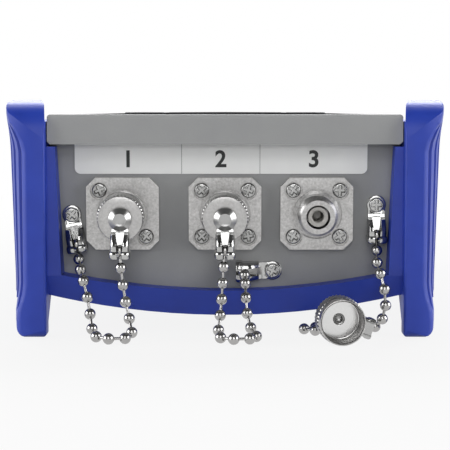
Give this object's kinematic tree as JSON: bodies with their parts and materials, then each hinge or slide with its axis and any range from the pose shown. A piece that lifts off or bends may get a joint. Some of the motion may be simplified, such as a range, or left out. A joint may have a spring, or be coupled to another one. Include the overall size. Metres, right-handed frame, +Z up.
{
  "type": "fibre optic tester",
  "caption": "Handheld fibre optic tester in a ribbed rubber boot, with threaded receptacles on its end panel and screw-on dust caps held by bead chains.",
  "frame": {"origin": "on the floor, under the middle of the whole with its loose cap", "axes": "+Z up out of the display, +Y along the tester away from its connector end, +X to the right as seen from the connector end"},
  "size_m": [0.0964, 0.2094, 0.0502],
  "materials": {
    "boot_rubber": "moulded, satin",
    "cover_plastic": "fine moulded texture",
    "shell_plastic": "fine moulded texture",
    "window_acrylic": "polished, dark",
    "display_glass": "polished",
    "key_silicone": "matt",
    "circuit_board": "solder mask",
    "battery_wrap": "shrink film",
    "module_case": "plain",
    "screw_steel": "nickel plated",
    "label_film": "satin print film",
    "flange_nickel": "satin nickel plate",
    "sleeve_ceramic": "ground ceramic",
    "cap_nickel": "turned, satin nickel plate",
    "rivet_nickel": "turned, bright",
    "clip_steel": "folded bright sheet",
    "chain_nickel": "bright nickel"
  },
  "bodies": {
    "housing": {"boot": "boot_rubber", "front_cover": "cover_plastic", "rear_shell": "shell_plastic", "display_window": "window_acrylic", "display_module": "display_glass", "keypad_mat": "key_silicone", "keypad_board": "circuit_board", "main_board": "circuit_board", "battery_pack": "battery_wrap", "otdr_module": "module_case", "photodiode_module": "module_case", "laser_module": "module_case", "case_screws": "screw_steel", "board_screws": "screw_steel", "port_label_1": "label_film", "port_flange_1": "flange_nickel", "ferrule_sleeve_1": "sleeve_ceramic", "flange_screws_1": "screw_steel", "anchor_clip_1": "clip_steel", "anchor_screw_1": "screw_steel", "bead_chain_1": "chain_nickel", "port_label_2": "label_film", "port_flange_2": "flange_nickel", "ferrule_sleeve_2": "sleeve_ceramic", "flange_screws_2": "screw_steel", "anchor_clip_2": "clip_steel", "anchor_screw_2": "screw_steel", "bead_chain_2": "chain_nickel", "port_label_3": "label_film", "port_flange_3": "flange_nickel", "ferrule_sleeve_3": "sleeve_ceramic", "flange_screws_3": "screw_steel", "cap_clip_3": "clip_steel", "anchor_clip_3": "clip_steel", "anchor_screw_3": "screw_steel", "bead_chain_3": "chain_nickel"},
    "clip_1": {"cap_clip_1": "clip_steel"},
    "cap_1": {"cap_1": "cap_nickel", "cap_rivet_1": "rivet_nickel"},
    "clip_2": {"cap_clip_2": "clip_steel"},
    "cap_2": {"cap_2": "cap_nickel", "cap_rivet_2": "rivet_nickel"},
    "cap_3": {"cap_3": "cap_nickel", "cap_rivet_3": "rivet_nickel"},
    "soft_key_1": {"soft_key_1": "key_silicone"},
    "soft_key_2": {"soft_key_2": "key_silicone"},
    "soft_key_3": {"soft_key_3": "key_silicone"},
    "soft_key_4": {"soft_key_4": "key_silicone"},
    "up_key": {"up_key": "key_silicone"},
    "left_key": {"left_key": "key_silicone"},
    "enter_key": {"enter_key": "key_silicone"},
    "right_key": {"right_key": "key_silicone"},
    "down_key": {"down_key": "key_silicone"},
    "menu_key": {"menu_key": "key_silicone"},
    "escape_key": {"escape_key": "key_silicone"},
    "test_key": {"test_key": "key_silicone"},
    "power_key": {"power_key": "key_silicone"}
  },
  "joints": [
    {"name": "cap_1_travel", "type": "slide", "parent": "housing", "child": "clip_1", "axis": [0, -0.9976, -0.0698], "range_m": [0, 0.00375], "deforming": ["bead_chain_1"]},
    {"name": "cap_1_turn", "type": "hinge", "parent": "clip_1", "child": "cap_1", "pos_m": [-0.022, -0.08824, 0.02565], "axis": [0, -0.9976, -0.0698], "range_deg": [0, 1800.5]},
    {"name": "cap_2_travel", "type": "slide", "parent": "housing", "child": "clip_2", "axis": [0, -0.9976, -0.0698], "range_m": [0, 0.00375], "deforming": ["bead_chain_2"]},
    {"name": "cap_2_turn", "type": "hinge", "parent": "clip_2", "child": "cap_2", "pos_m": [0, -0.08824, 0.02565], "axis": [0, -0.9976, -0.0698], "range_deg": [0, 1800.5]},
    {"name": "cap_3_turn", "type": "hinge", "parent": "housing", "child": "cap_3", "pos_m": [0.02372, -0.10041, 0.00497], "axis": [-0.0698, 0.9976, 0], "continuous": true},
    {"name": "soft_key_1_press", "type": "slide", "parent": "housing", "child": "soft_key_1", "axis": [0, 0, -1], "range_m": [0, 0.0008], "stiffness_N_per_m": 300},
    {"name": "soft_key_2_press", "type": "slide", "parent": "housing", "child": "soft_key_2", "axis": [0, 0, -1], "range_m": [0, 0.0008], "stiffness_N_per_m": 300},
    {"name": "soft_key_3_press", "type": "slide", "parent": "housing", "child": "soft_key_3", "axis": [0, 0, -1], "range_m": [0, 0.0008], "stiffness_N_per_m": 300},
    {"name": "soft_key_4_press", "type": "slide", "parent": "housing", "child": "soft_key_4", "axis": [0, 0, -1], "range_m": [0, 0.0008], "stiffness_N_per_m": 300},
    {"name": "up_key_press", "type": "slide", "parent": "housing", "child": "up_key", "axis": [0, 0, -1], "range_m": [0, 0.0008], "stiffness_N_per_m": 300},
    {"name": "left_key_press", "type": "slide", "parent": "housing", "child": "left_key", "axis": [0, 0, -1], "range_m": [0, 0.0008], "stiffness_N_per_m": 300},
    {"name": "enter_key_press", "type": "slide", "parent": "housing", "child": "enter_key", "axis": [0, 0, -1], "range_m": [0, 0.0008], "stiffness_N_per_m": 300},
    {"name": "right_key_press", "type": "slide", "parent": "housing", "child": "right_key", "axis": [0, 0, -1], "range_m": [0, 0.0008], "stiffness_N_per_m": 300},
    {"name": "down_key_press", "type": "slide", "parent": "housing", "child": "down_key", "axis": [0, 0, -1], "range_m": [0, 0.0008], "stiffness_N_per_m": 300},
    {"name": "menu_key_press", "type": "slide", "parent": "housing", "child": "menu_key", "axis": [0, 0, -1], "range_m": [0, 0.0008], "stiffness_N_per_m": 300},
    {"name": "escape_key_press", "type": "slide", "parent": "housing", "child": "escape_key", "axis": [0, 0, -1], "range_m": [0, 0.0008], "stiffness_N_per_m": 300},
    {"name": "test_key_press", "type": "slide", "parent": "housing", "child": "test_key", "axis": [0, 0, -1], "range_m": [0, 0.0008], "stiffness_N_per_m": 300},
    {"name": "power_key_press", "type": "slide", "parent": "housing", "child": "power_key", "axis": [0, 0, -1], "range_m": [0, 0.0008], "stiffness_N_per_m": 300}
  ],
  "couplings": [
    {"joint": "cap_1_turn", "follows": "cap_1_travel", "rad_per_m": 8377.6},
    {"joint": "cap_2_turn", "follows": "cap_2_travel", "rad_per_m": 8377.6}
  ]
}
